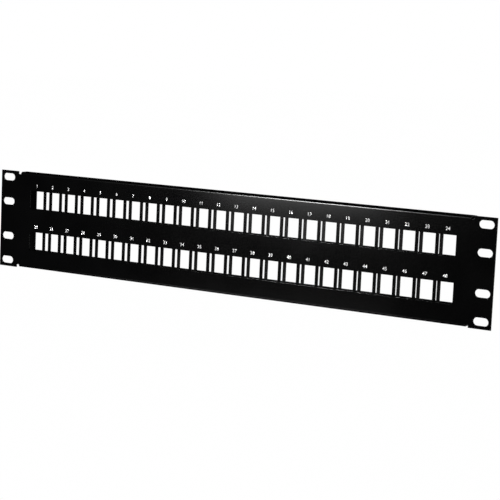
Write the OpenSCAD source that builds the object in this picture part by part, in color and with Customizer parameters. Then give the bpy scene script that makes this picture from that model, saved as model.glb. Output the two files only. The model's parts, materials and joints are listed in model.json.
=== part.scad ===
// Blank 48-port rack panel, 19 inch, two rack units high.
// A bent steel front panel is closed at the back by a flat plate with the same openings.
// The plate lies on the rear edges of the panel's flanges and is held by welded studs, washers and nuts.
// Frame: the origin is at the middle of the panel, on the back face of the rack ears.
// +X runs to the right seen from the front, +Y runs back into the rack, +Z is up. Millimetres.

/* [Panel] */
// Overall width across the ears
panel_w = 482.6; // [482:0.1:483.4]
// Overall height of the ears
panel_h = 88.1; // [87.6:0.1:88.4]
// Thickness of the panel sheet
sheet_t = 1.2; // [1:0.1:1.6]
// Width of the bent body between the ears
body_w = 438.8; // [436:0.2:441]
// Height over the two bent flanges
body_h = 87.3; // [86.8:0.1:87.5]
// Depth from the front face to the rear edge of the flanges
flange_d = 8.6; // [8:0.1:9]
// Inside radius of the flange bends
bend_r = 1; // [0.8:0.1:1.6]
// Width of the relief notch beside each flange end
relief_w = 2.7; // [2:0.1:3.5]

/* [Rack slots] */
// Distance between the left and right columns of slots
slot_span = 465.12; // [464.9:0.01:465.3]
// Height of the outermost slots above and below the middle
slot_z_outer = 38.1; // [37.9:0.1:38.3]
// Height of the inner slots above and below the middle
slot_z_inner = 15.875; // [15.675:0.1:16.075]
// Length of a slot, end to end
slot_len = 12.7; // [10:0.1:14]
// Height of a slot
slot_h = 6.5; // [6.2:0.1:7.2]

/* [Jack openings] */
// Openings in one row
ports = 24; // [24]
// Distance between neighbouring openings
port_pitch = 17.45; // [17.35:0.05:17.5]
// Width of an opening
port_w = 14.7; // [14.2:0.1:15.2]
// Height of an opening
port_h = 17.1; // [16:0.1:17.4]
// Height of a row's middle above or below the middle of the panel
row_z = 18.7; // [18.6:0.1:19]

/* [Rear plate] */
// Width of the rear plate
plate_w = 441; // [439:0.5:443]
// Height of the rear plate
plate_h = 86.8; // [86.4:0.1:87.2]
// Thickness of the rear plate
plate_t = 1.2; // [1:0.1:1.6]
// Diameter of a stud hole in the rear plate
plate_hole_d = 3.4; // [3.2:0.1:3.8]

/* [Fasteners] */
// Studs in the upper line and in the lower line
stud_n = 5; // [3, 5]
// Height of a stud line above or below the middle
stud_z = 35; // [33.5:0.1:37]
// Thread diameter of a stud
stud_d = 2.9; // [2.8:0.02:2.94]
// Length of a stud from the back of the panel
stud_len = 12.5; // [12:0.5:14]
// Diameter of the weld flange on a stud
stud_flange_d = 4.5; // [4.2:0.1:4.6]
// Height of the weld flange
stud_flange_h = 0.7; // [0.5:0.1:0.9]
// Outside diameter of a washer
washer_d = 6; // [5.5:0.1:6.4]
// Thickness of a washer
washer_t = 0.5; // [0.4:0.1:0.8]
// Width of a nut across its flats
nut_af = 5.5; // [5.4:0.1:5.6]
// Height of a nut
nut_h = 2.4; // [1.8:0.1:2.6]

/* [Hidden] */
$fn = 48;
e = 0.5;                                // overrun of a cut past a face
front_y = -sheet_t;                     // front face
rear_y = flange_d - sheet_t;            // rear edge of the flanges, where the plate lies
plate_back = rear_y + plate_t;          // back of the rear plate
bend_o = bend_r + sheet_t;              // outside radius of a flange bend
bend_z = body_h / 2 - bend_o;           // height at which the bend starts
slot_r = slot_h / 2;
stud_step = (ports * port_pitch) / (stud_n - 1);
washer_bore = 3.2;
nut_bore = 3;
nut_r = nut_af / 2 / cos(30);

// ---- shared shapes ------------------------------------------------

// Quarter of a bend running along X, in the quadrant given by the signs of y and z
module quarter_bend(len, ri, t, sy, sz) {
    w = ri + t + 1;
    intersection() {
        rotate([0, 90, 0]) difference() {
            cylinder(r = ri + t, h = len, center = true);
            cylinder(r = ri, h = len + 2, center = true);
        }
        translate([-len / 2 - 1, sy > 0 ? 0 : -w, sz > 0 ? 0 : -w])
            cube([len + 2, w, w]);
    }
}

// Cutter for one rack slot, along X with full-round ends
module slot_cut() {
    rotate([90, 0, 0]) union() {
        cube([slot_len - slot_h, slot_h, sheet_t + 2 * e], center = true);
        for (s = [-1, 1])
            translate([s * (slot_len / 2 - slot_r), 0, 0])
                cylinder(r = slot_r, h = sheet_t + 2 * e, center = true);
    }
}

// Cutters for one row of jack openings, centred on the row, from y0 to y1
module port_cuts(y0, y1) {
    for (i = [0 : ports - 1])
        translate([(i - (ports - 1) / 2) * port_pitch - port_w / 2, y0, -port_h / 2])
            cube([port_w, y1 - y0, port_h]);
}

// Places its children at every stud of the upper (s = 1) or lower (s = -1) line
module at_studs(s) {
    for (i = [0 : stud_n - 1])
        translate([(i - (stud_n - 1) / 2) * stud_step, 0, s * stud_z])
            rotate([-90, 0, 0])
                children();
}

// ---- front panel --------------------------------------------------

module front_panel() {
    color([0.03, 0.03, 0.035])
    difference() {
        union() {
            // flat sheet with the ears; the body edges are cut back to the bend line
            difference() {
                translate([-panel_w / 2, front_y, -panel_h / 2])
                    cube([panel_w, sheet_t, panel_h]);
                for (s = [-1, 1])
                    translate([0, -sheet_t / 2, s * (bend_z + 25)])
                        cube([body_w + 2 * relief_w, sheet_t + 2 * e, 50], center = true);
            }
            for (s = [-1, 1]) {
                // rounded fold along the top and bottom
                translate([0, front_y + bend_o, s * bend_z])
                    quarter_bend(body_w, bend_r, sheet_t, -1, s);
                // flange running back
                translate([-body_w / 2, front_y + bend_o, s > 0 ? body_h / 2 - sheet_t : -body_h / 2])
                    cube([body_w, rear_y - front_y - bend_o, sheet_t]);
            }
        }
        // four slots in each ear
        for (x = [-1, 1], z = [-slot_z_outer, -slot_z_inner, slot_z_inner, slot_z_outer])
            translate([x * slot_span / 2, -sheet_t / 2, z])
                slot_cut();
        // two rows of jack openings
        for (s = [-1, 1])
            translate([0, 0, s * row_z])
                port_cuts(front_y - e, e);
    }
}

// ---- rear plate ---------------------------------------------------

module rear_plate() {
    color([0.035, 0.035, 0.04])
    difference() {
        translate([-plate_w / 2, rear_y, -plate_h / 2])
            cube([plate_w, plate_t, plate_h]);
        for (s = [-1, 1]) {
            // the same openings as the front panel
            translate([0, 0, s * row_z])
                port_cuts(rear_y - e, plate_back + e);
            // stud holes
            at_studs(s)
                translate([0, 0, rear_y - e])
                    cylinder(d = plate_hole_d, h = plate_t + 2 * e);
        }
    }
}

// ---- fasteners ----------------------------------------------------

// Weld stud: a short flange on the sheet, the thread, and a chamfered tip
module stud() {
    c = 0.35;
    union() {
        cylinder(d = stud_flange_d, h = stud_flange_h);
        cylinder(d = stud_d, h = stud_len - c);
        translate([0, 0, stud_len - c])
            cylinder(r1 = stud_d / 2, r2 = stud_d / 2 - c, h = c);
    }
}

module washer() {
    translate([0, 0, plate_back])
        difference() {
            cylinder(d = washer_d, h = washer_t);
            translate([0, 0, -e]) cylinder(d = washer_bore, h = washer_t + 2 * e);
        }
}

// Hexagon nut with its outer corners turned down on the free side
module nut() {
    translate([0, 0, plate_back + washer_t])
        difference() {
            intersection() {
                cylinder(r = nut_r, h = nut_h, $fn = 6);
                union() {
                    cylinder(r = nut_r + 0.1, h = nut_h - 0.35);
                    translate([0, 0, nut_h - 0.35])
                        cylinder(r1 = nut_r + 0.1, r2 = nut_af / 2 - 0.05, h = 0.35);
                }
            }
            translate([0, 0, -e]) cylinder(d = nut_bore, h = nut_h + 2 * e);
        }
}

module upper_studs() {
    color([0.72, 0.72, 0.7]) at_studs(1) stud();
}

module lower_studs() {
    color([0.72, 0.72, 0.7]) at_studs(-1) stud();
}

module upper_washers() {
    color([0.76, 0.76, 0.74]) at_studs(1) washer();
}

module lower_washers() {
    color([0.76, 0.76, 0.74]) at_studs(-1) washer();
}

module upper_nuts() {
    color([0.68, 0.68, 0.66]) at_studs(1) nut();
}

module lower_nuts() {
    color([0.68, 0.68, 0.66]) at_studs(-1) nut();
}

front_panel();
rear_plate();
upper_studs();
lower_studs();
upper_washers();
lower_washers();
upper_nuts();
lower_nuts();
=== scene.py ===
import json
import math

import bmesh
import bpy
from mathutils import Matrix, Vector

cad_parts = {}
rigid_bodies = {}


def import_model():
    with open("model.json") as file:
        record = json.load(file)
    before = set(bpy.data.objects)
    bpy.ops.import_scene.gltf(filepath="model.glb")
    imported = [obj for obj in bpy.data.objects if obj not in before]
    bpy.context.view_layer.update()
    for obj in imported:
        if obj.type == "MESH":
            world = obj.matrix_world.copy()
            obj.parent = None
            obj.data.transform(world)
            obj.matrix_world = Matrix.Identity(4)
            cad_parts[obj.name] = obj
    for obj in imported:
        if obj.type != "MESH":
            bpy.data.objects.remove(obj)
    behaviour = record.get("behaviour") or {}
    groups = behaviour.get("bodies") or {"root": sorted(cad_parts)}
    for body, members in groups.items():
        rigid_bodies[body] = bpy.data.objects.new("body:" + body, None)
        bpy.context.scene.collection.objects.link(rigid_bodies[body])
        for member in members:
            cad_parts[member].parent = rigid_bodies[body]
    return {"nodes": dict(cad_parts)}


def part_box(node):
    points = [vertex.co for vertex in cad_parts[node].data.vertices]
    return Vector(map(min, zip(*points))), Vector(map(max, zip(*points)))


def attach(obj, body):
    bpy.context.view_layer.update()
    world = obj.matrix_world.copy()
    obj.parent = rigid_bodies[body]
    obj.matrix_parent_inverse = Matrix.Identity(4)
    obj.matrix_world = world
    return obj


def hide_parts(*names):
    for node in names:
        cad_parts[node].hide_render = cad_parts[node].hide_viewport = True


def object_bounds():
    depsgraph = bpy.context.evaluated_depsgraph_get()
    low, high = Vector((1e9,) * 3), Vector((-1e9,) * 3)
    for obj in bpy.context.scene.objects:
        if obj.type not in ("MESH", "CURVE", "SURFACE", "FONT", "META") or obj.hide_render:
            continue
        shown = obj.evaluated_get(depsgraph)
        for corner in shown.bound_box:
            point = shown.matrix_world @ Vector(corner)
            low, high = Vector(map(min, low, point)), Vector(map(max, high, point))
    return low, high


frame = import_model()
cad_low, cad_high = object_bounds()
scene = bpy.context.scene

for o in list(scene.objects):
    if o.type in {"LIGHT", "CAMERA"}:
        bpy.data.objects.remove(o)

MM = 0.001
FRONT_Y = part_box("front_panel")[0].y          # front face of the sheet
BODY = "root"


# ------------------------------------------------------------------
# small node helpers
# ------------------------------------------------------------------
class Nodes:
    """Builds a node material a line at a time."""

    def __init__(self, name):
        self.mat = bpy.data.materials.new(name)
        self.mat.use_nodes = True
        self.tree = self.mat.node_tree
        self.tree.nodes.clear()
        self.out = self.tree.nodes.new("ShaderNodeOutputMaterial")
        self.coord = self.tree.nodes.new("ShaderNodeTexCoord")

    def add(self, kind, **settings):
        n = self.tree.nodes.new(kind)
        for key, value in settings.items():
            setattr(n, key, value)
        return n

    def put(self, node, socket, value):
        s = node.inputs[socket]
        if hasattr(value, "is_output"):
            self.tree.links.new(value, s)
        else:
            s.default_value = value

    def noise(self, scale, detail=2.0, rough=0.5, dist=0.0, stretch=None):
        n = self.add("ShaderNodeTexNoise")
        self.put(n, "Scale", scale)
        self.put(n, "Detail", detail)
        self.put(n, "Roughness", rough)
        self.put(n, "Distortion", dist)
        src = self.coord.outputs["Object"]
        if stretch:
            m = self.add("ShaderNodeMapping")
            self.put(m, "Vector", src)
            self.put(m, "Scale", stretch)
            src = m.outputs[0]
        self.put(n, "Vector", src)
        return n.outputs["Fac"]

    def span(self, value, low, high, a=0.3, b=0.7):
        r = self.add("ShaderNodeMapRange")
        self.put(r, "Value", value)
        self.put(r, "From Min", a)
        self.put(r, "From Max", b)
        self.put(r, "To Min", low)
        self.put(r, "To Max", high)
        return r.outputs[0]

    def math(self, op, a, b=0.0):
        m = self.add("ShaderNodeMath", operation=op)
        self.put(m, 0, a)
        self.put(m, 1, b)
        return m.outputs[0]

    def mix(self, fac, a, b):
        m = self.add("ShaderNodeMix", data_type="RGBA")
        self.put(m, 0, fac)
        self.put(m, 6, a)
        self.put(m, 7, b)
        return m.outputs[2]

    def bump(self, height, strength, distance, normal=None):
        b = self.add("ShaderNodeBump")
        self.put(b, "Height", height)
        self.put(b, "Strength", strength)
        self.put(b, "Distance", distance)
        if normal is not None:
            self.put(b, "Normal", normal)
        return b.outputs[0]

    def surface(self, **inputs):
        p = self.add("ShaderNodeBsdfPrincipled")
        for key, value in inputs.items():
            self.put(p, key.replace("_", " "), value)
        self.tree.links.new(p.outputs[0], self.out.inputs[0])
        return p


def powder_coat(name, dark, light, rough, peel):
    """Satin powder coat: orange peel, a finer grain over it, cloudy gloss, and dust that is a little lighter."""
    n = Nodes(name)
    peel_big = n.noise(1500.0, 2.0, 0.45)
    peel_fine = n.noise(4600.0, 1.5, 0.5)
    cloud = n.noise(22.0, 3.0, 0.55, 0.4)
    speck = n.noise(900.0, 4.0, 0.7)
    colour = n.mix(n.span(cloud, 0.0, 1.0), dark, light)
    dust = n.mix(n.span(speck, 0.0, 0.35, 0.62, 0.8), colour, (0.006, 0.006, 0.0062, 1.0))
    gloss = n.math("ADD", n.span(cloud, rough - 0.012, rough + 0.012), n.span(speck, -0.006, 0.014))
    normal = n.bump(peel_big, 1.0, peel * MM)
    normal = n.bump(peel_fine, 0.8, 0.3 * peel * MM, normal)
    n.surface(Base_Color=dust, Roughness=gloss, IOR=1.5, Normal=normal)
    return n.mat


def zinc_plate(name, cool, warm, rough, lay):
    """Clear zinc plate: bright metal with a bluish to straw tint that drifts, and a fine machined lay."""
    n = Nodes(name)
    drift = n.noise(420.0, 3.0, 0.6, 0.6)
    lines = n.noise(2600.0, 3.0, 0.6, 0.0, lay)
    pits = n.noise(5200.0, 2.0, 0.6)
    colour = n.mix(n.span(drift, 0.0, 1.0), cool, warm)
    stain = n.mix(n.span(n.noise(240.0, 4.0, 0.65), 0.0, 0.45, 0.56, 0.75), colour, (0.42, 0.41, 0.39, 1.0))
    gloss = n.math("ADD", n.span(drift, rough - 0.05, rough + 0.06), n.span(lines, -0.05, 0.05))
    normal = n.bump(lines, 0.5, 0.006 * MM)
    normal = n.bump(pits, 0.5, 0.005 * MM, normal)
    n.surface(Base_Color=stain, Metallic=1.0, Roughness=gloss, Normal=normal)
    return n.mat


def print_ink(name):
    """Matt screen-printed ink: slightly uneven cover with a fine mesh grain."""
    n = Nodes(name)
    cover = n.noise(3200.0, 3.0, 0.6)
    grain = n.noise(9000.0, 2.0, 0.5)
    colour = n.mix(n.span(cover, 0.0, 1.0), (0.74, 0.74, 0.74, 1.0), (0.86, 0.86, 0.86, 1.0))
    n.surface(
        Base_Color=colour, Roughness=n.span(cover, 0.5, 0.62), IOR=1.45,
        Normal=n.bump(grain, 0.4, 0.004 * MM))
    return n.mat


COAT = powder_coat("panel_powder_coat", (0.0014, 0.0014, 0.0015, 1), (0.0026, 0.0026, 0.0027, 1), 0.165, 0.0022)
COAT_PLATE = powder_coat("plate_powder_coat", (0.0014, 0.0014, 0.0015, 1), (0.0026, 0.0026, 0.0027, 1), 0.235, 0.0026)
STUD = zinc_plate("stud_zinc", (0.60, 0.60, 0.59, 1), (0.68, 0.65, 0.58, 1), 0.30, (1.0, 7.0, 1.0))
WASHER = zinc_plate("washer_zinc", (0.66, 0.68, 0.70, 1), (0.72, 0.70, 0.64, 1), 0.26, (4.0, 1.0, 0.6))
NUT = zinc_plate("nut_zinc", (0.62, 0.64, 0.67, 1), (0.70, 0.68, 0.61, 1), 0.28, (0.7, 5.0, 0.7))
INK = print_ink("print_ink")


# ------------------------------------------------------------------
# pieces made from the CAD nodes, with their corners rounded
# ------------------------------------------------------------------
def add_object(name, mesh, material):
    o = bpy.data.objects.new(name, mesh)
    scene.collection.objects.link(o)
    mesh.materials.clear()
    mesh.materials.append(material)
    return o


def shade(mesh, angle_deg=32.0):
    """Smooth shading with hard edges kept where faces meet sharply."""
    bm = bmesh.new()
    bm.from_mesh(mesh)
    for f in bm.faces:
        f.smooth = True
    limit = math.radians(angle_deg)
    for e in bm.edges:
        e.smooth = not (len(e.link_faces) == 2 and e.calc_face_angle(0.0) > limit)
    bm.to_mesh(mesh)
    bm.free()


def outward(bm):
    """Turns every separate solid's faces to the outside, judged by its own volume."""
    bmesh.ops.recalc_face_normals(bm, faces=bm.faces)
    seen = set()
    for first in bm.faces:
        if first in seen:
            continue
        seen.add(first)
        todo, group = [first], []
        while todo:
            f = todo.pop()
            group.append(f)
            for e in f.edges:
                for g in e.link_faces:
                    if g not in seen:
                        seen.add(g)
                        todo.append(g)
        at = group[0].verts[0].co.copy()
        volume = 0.0
        for f in group:
            c = [v.co - at for v in f.verts]
            for i in range(1, len(c) - 1):
                volume += c[0].dot(c[i].cross(c[i + 1]))
        if volume < 0:
            bmesh.ops.reverse_faces(bm, faces=group)


def rounded(node, name, material, radius_mm, segments, sharp_deg=35.0):
    """The CAD node's own shape, cleaned of coplanar triangles, with every sharp edge rounded."""
    bm = bmesh.new()
    bm.from_mesh(frame["nodes"][node].data)
    bmesh.ops.remove_doubles(bm, verts=bm.verts, dist=2e-7)
    bmesh.ops.dissolve_limit(
        bm, angle_limit=math.radians(0.4), use_dissolve_boundaries=False,
        verts=bm.verts, edges=bm.edges)
    bmesh.ops.recalc_face_normals(bm, faces=bm.faces)
    limit = math.radians(sharp_deg)
    sharp = [e for e in bm.edges if len(e.link_faces) == 2 and e.calc_face_angle(0.0) > limit]
    bmesh.ops.bevel(
        bm, geom=sharp, offset=radius_mm * MM, offset_type="OFFSET", segments=segments,
        profile=0.5, affect="EDGES", clamp_overlap=True, harden_normals=False)
    bmesh.ops.remove_doubles(bm, verts=bm.verts, dist=5e-7)
    bmesh.ops.dissolve_degenerate(bm, edges=bm.edges, dist=5e-7)
    outward(bm)
    mesh = bpy.data.meshes.new(name)
    bm.to_mesh(mesh)
    bm.free()
    shade(mesh)
    o = add_object(name, mesh, material)
    m = o.modifiers.new("flat_faces", "WEIGHTED_NORMAL")
    m.keep_sharp = True
    m.weight = 100
    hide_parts(node)
    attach(o, BODY)
    return o


panel = rounded("front_panel", "front_panel_coated", COAT, 0.30, 3)
plate = rounded("rear_plate", "rear_plate_coated", COAT_PLATE, 0.18, 3)
for side in ("upper", "lower"):
    w = rounded(side + "_washers", side + "_washers_plated", WASHER, 0.06, 2)
    n = rounded(side + "_nuts", side + "_nuts_plated", NUT, 0.07, 2, 24.0)


# ------------------------------------------------------------------
# weld studs with a real helical thread
# ------------------------------------------------------------------
def islands(mesh):
    """Boxes of the mesh's separate solids."""
    bm = bmesh.new()
    bm.from_mesh(mesh)
    bmesh.ops.remove_doubles(bm, verts=bm.verts, dist=2e-7)
    seen, found = set(), []
    for v in bm.verts:
        if v in seen:
            continue
        todo, group = [v], []
        seen.add(v)
        while todo:
            a = todo.pop()
            group.append(a.co.copy())
            for e in a.link_edges:
                b = e.other_vert(a)
                if b not in seen:
                    seen.add(b)
                    todo.append(b)
        low = Vector(min(c[i] for c in group) for i in range(3))
        high = Vector(max(c[i] for c in group) for i in range(3))
        found.append((low, high))
    bm.free()
    return sorted(found, key=lambda b: (round(b[0].z, 4), round(b[0].x, 4)))


def threaded_studs(node, name):
    """Studs along +Y: weld flange, M3 thread cut as one helix with run-outs, chamfered tip."""
    around, pitch = 36, 0.5 * MM
    verts, faces = [], []
    for low, high in islands(frame["nodes"][node].data):
        cx, cz = (low.x + high.x) / 2, (low.z + high.z) / 2
        length = high.y - low.y
        flange_r = (high.x - low.x) / 2
        major, depth = 1.45 * MM, 0.27 * MM
        y0 = low.y
        rings = [(0.0, flange_r - 0.08 * MM, 0), (0.08 * MM, flange_r, 0), (0.60 * MM, flange_r, 0),
                 (0.68 * MM, flange_r - 0.08 * MM, 0), (0.70 * MM, flange_r - 0.16 * MM, 0),
                 (0.70 * MM, major + 0.02 * MM, 0), (0.74 * MM, major - 0.06 * MM, 0)]
        start, stop = 0.80 * MM, length - 0.02 * MM
        steps = 234
        for i in range(steps + 1):
            y = start + (stop - start) * i / steps
            rings.append((y, None, 1))
        rings.append((length, major - 0.42 * MM, 0))
        base = len(verts)
        for y, r, cut in rings:
            for k in range(around):
                t = 2 * math.pi * k / around
                if cut:
                    phase = (y / pitch + k / around) % 1.0
                    tooth = abs(2 * phase - 1)                       # 0 at the root, 1 at the crest
                    tooth = min(1.0, max(0.0, (tooth - 0.12) / 0.70))  # flat root and crest
                    run_in = min(1.0, max(0.0, (y - start) / (0.6 * pitch)))
                    groove = depth * (1 - tooth) * run_in
                    rr = major - 0.02 * MM * (1 - run_in) - groove
                    to_tip = length - y
                    rr = min(rr, major - 0.40 * MM + to_tip * 1.05)
                else:
                    rr = r
                verts.append((cx + rr * math.cos(t), y0 + y, cz + rr * math.sin(t)))
        for j in range(len(rings) - 1):
            for k in range(around):
                a = base + j * around + k
                b = base + j * around + (k + 1) % around
                faces.append((a, b, b + around, a + around))
        faces.append(tuple(base + k for k in range(around))[::-1])
        last = base + (len(rings) - 1) * around
        faces.append(tuple(last + k for k in range(around)))
    mesh = bpy.data.meshes.new(name)
    mesh.from_pydata(verts, [], faces)
    bm = bmesh.new()
    bm.from_mesh(mesh)
    outward(bm)
    bm.to_mesh(mesh)
    bm.free()
    shade(mesh, 40.0)
    o = add_object(name, mesh, STUD)
    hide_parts(node)
    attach(o, BODY)
    return o


for side in ("upper", "lower"):
    threaded_studs(side + "_studs", side + "_studs_threaded")


# ------------------------------------------------------------------
# printed port numbers, one above each opening
# ------------------------------------------------------------------
PITCH = 17.45 * MM
ROW_Z = 18.7 * MM
OPEN_H = 17.1 * MM
DIGIT_H = 2.8 * MM
DIGIT_GAP = 3.4 * MM                                  # from the opening's top edge to the digits
INK_T = 0.03 * MM


def number_mesh(text):
    c = bpy.data.curves.new("digits", "FONT")
    c.body = text
    c.align_x = "CENTER"
    c.size = 1.0
    c.offset = 0.008
    c.space_character = 1.06
    c.resolution_u = 4
    o = bpy.data.objects.new("digits", c)
    scene.collection.objects.link(o)
    bpy.context.view_layer.update()
    deps = bpy.context.evaluated_depsgraph_get()
    m = bpy.data.meshes.new_from_object(o.evaluated_get(deps))
    bpy.data.objects.remove(o)
    bpy.data.curves.remove(c)
    return m


def port_numbers(name, first, row_z, size):
    """One row of 24 numbers, each a thin closed layer of ink on the front face."""
    cap = number_mesh("8")
    low, high = min(v.co.y for v in cap.vertices), max(v.co.y for v in cap.vertices)
    k_size = size / (high - low)
    whole = bmesh.new()
    for i in range(24):
        flat = number_mesh(str(first + i))
        bm = bmesh.new()
        bm.from_mesh(flat)
        bpy.data.meshes.remove(flat)
        bmesh.ops.remove_doubles(bm, verts=bm.verts, dist=2e-3)
        inner = [e for e in bm.edges if len(e.link_faces) == 2]
        bmesh.ops.beautify_fill(bm, faces=bm.faces, edges=inner, method="ANGLE")
        xs = [v.co.x for v in bm.verts]
        mid = (min(xs) + max(xs)) / 2
        x0 = (i - 11.5) * PITCH
        for v in bm.verts:
            x, z = (v.co.x - mid) * k_size, (v.co.y - low) * k_size
            v.co = (x0 + x, FRONT_Y - INK_T + 0.01 * MM, row_z + OPEN_H / 2 + DIGIT_GAP + z)
        for f in bm.faces:
            if f.normal.y > 0:
                f.normal_flip()
        grown = bmesh.ops.extrude_face_region(bm, geom=list(bm.faces))
        for v in [g for g in grown["geom"] if isinstance(g, bmesh.types.BMVert)]:
            v.co.y += INK_T
        outward(bm)
        part = bpy.data.meshes.new("part")
        bm.to_mesh(part)
        bm.free()
        whole.from_mesh(part)
        bpy.data.meshes.remove(part)
    mesh = bpy.data.meshes.new(name)
    whole.to_mesh(mesh)
    whole.free()
    o = add_object(name, mesh, INK)
    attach(o, BODY)
    return o


numbers = [port_numbers("port_numbers_upper", 1, ROW_Z, DIGIT_H),
           port_numbers("port_numbers_lower", 25, -ROW_Z, DIGIT_H)]


# ------------------------------------------------------------------
# floor, light and camera
# ------------------------------------------------------------------
def floor():
    """A plain white floor the panel stands on. It can't be seen from below, and throws nothing back."""
    mesh = bpy.data.meshes.new("floor")
    s = 6.0
    z = cad_low.z
    mesh.from_pydata([(-s, -s, z), (s, -s, z), (s, s, z), (-s, s, z)], [], [(0, 1, 2, 3)])
    o = bpy.data.objects.new("floor", mesh)
    scene.collection.objects.link(o)
    n = Nodes("floor_white")
    glow = n.add("ShaderNodeEmission")
    grain = n.noise(3.0, 2.0)
    n.put(glow, "Color", n.mix(grain, (1.0, 1.0, 1.0, 1), (0.995, 0.995, 0.995, 1)))
    n.put(glow, "Strength", 1.0)
    clear = n.add("ShaderNodeBsdfTransparent")
    side = n.add("ShaderNodeNewGeometry")
    m = n.add("ShaderNodeMixShader")
    n.put(m, 0, side.outputs["Backfacing"])
    n.put(m, 1, glow.outputs[0])
    n.put(m, 2, clear.outputs[0])
    n.tree.links.new(m.outputs[0], n.out.inputs[0])
    mesh.materials.append(n.mat)
    o.visible_glossy = o.visible_diffuse = o.visible_shadow = o.visible_transmission = False


def soft_box(name, at, aim, width, height, radiance, only=None):
    light = bpy.data.lights.new(name, "AREA")
    light.shape = "RECTANGLE"
    light.size, light.size_y = width, height
    light.energy = radiance * math.pi * width * height
    o = bpy.data.objects.new(name, light)
    scene.collection.objects.link(o)
    o.location = at
    back = (Vector(at) - Vector(aim)).normalized()
    right = Vector((0, 0, 1)).cross(back).normalized()
    up = back.cross(right)
    o.matrix_world = Matrix.Translation(Vector(at)) @ Matrix((right, up, back)).transposed().to_4x4()
    o.visible_camera = False
    if only is not None:
        c = bpy.data.collections.new(name + "_on")
        for p in only:
            c.objects.link(p)
        o.light_linking.receiver_collection = c
    return o


floor()
CENTRE = (0.05, 0.0, 0.0)
soft_box("key_box", (-0.168, -0.4512, 0.100), CENTRE, 0.180, 0.210, 2.95)
soft_box("low_box", (-0.175, -0.3012, -0.173), CENTRE, 0.364, 0.152, 0.15)
soft_box("edge_box", (-0.354, -0.80, 0.33), CENTRE, 0.19, 0.15, 66)
soft_box("sill_box", (-0.38, -0.70, -0.52), CENTRE, 0.40, 0.20, 1.5)
soft_box("print_light", (0.10, -1.2, 0.6), (0, 0, 0), 0.8, 0.8, 7.0, numbers)
# boxes behind the panel and below its top, which light its back and sides
soft_box("back_left", (-0.55, 0.80, -0.34), (0, 0, 0), 0.9, 0.45, 2.6)
soft_box("back_right", (0.80, 0.70, -0.24), (0, 0, 0), 0.5, 0.40, 1.8)

world = bpy.data.worlds.new("studio")
scene.world = world
world.use_nodes = True
wt = world.node_tree
wt.nodes.clear()
w_out = wt.nodes.new("ShaderNodeOutputWorld")
w_path = wt.nodes.new("ShaderNodeLightPath")
w_seen = wt.nodes.new("ShaderNodeBackground")
w_seen.inputs[0].default_value = (1, 1, 1, 1)
w_seen.inputs[1].default_value = 1.0
w_room = wt.nodes.new("ShaderNodeBackground")
w_room.inputs[0].default_value = (1, 1, 1, 1)
w_room.inputs[1].default_value = 0.0025
w_mix = wt.nodes.new("ShaderNodeMixShader")
wt.links.new(w_path.outputs["Is Camera Ray"], w_mix.inputs[0])
wt.links.new(w_room.outputs[0], w_mix.inputs[1])
wt.links.new(w_seen.outputs[0], w_mix.inputs[2])
wt.links.new(w_mix.outputs[0], w_out.inputs[0])

cam = bpy.data.cameras.new("camera")
cam.sensor_fit = "HORIZONTAL"
cam.sensor_width = 36.0
cam.lens = 36.0 * 1596.669 / 500.0
cam.clip_start, cam.clip_end = 0.01, 50.0
camera = bpy.data.objects.new("camera", cam)
scene.collection.objects.link(camera)
yaw, pitch, roll = (math.radians(a) for a in (29.673, -7.317, -2.569))
turn = Matrix.Rotation(yaw, 3, "Z") @ Matrix.Rotation(pitch, 3, "X") @ Matrix.Rotation(roll, 3, "Y")
right, ahead, up = turn.col[0], turn.col[1], turn.col[2]
axes = Matrix((right, up, -ahead)).transposed().to_4x4()
camera.matrix_world = Matrix.Translation((0.681074, -1.153807 + FRONT_Y, 0.167398)) @ axes
scene.camera = camera

scene.view_settings.view_transform = "Standard"
scene.view_settings.look = "None"
scene.view_settings.exposure = 0.0
scene.view_settings.gamma = 1.0

bpy.context.view_layer.update()
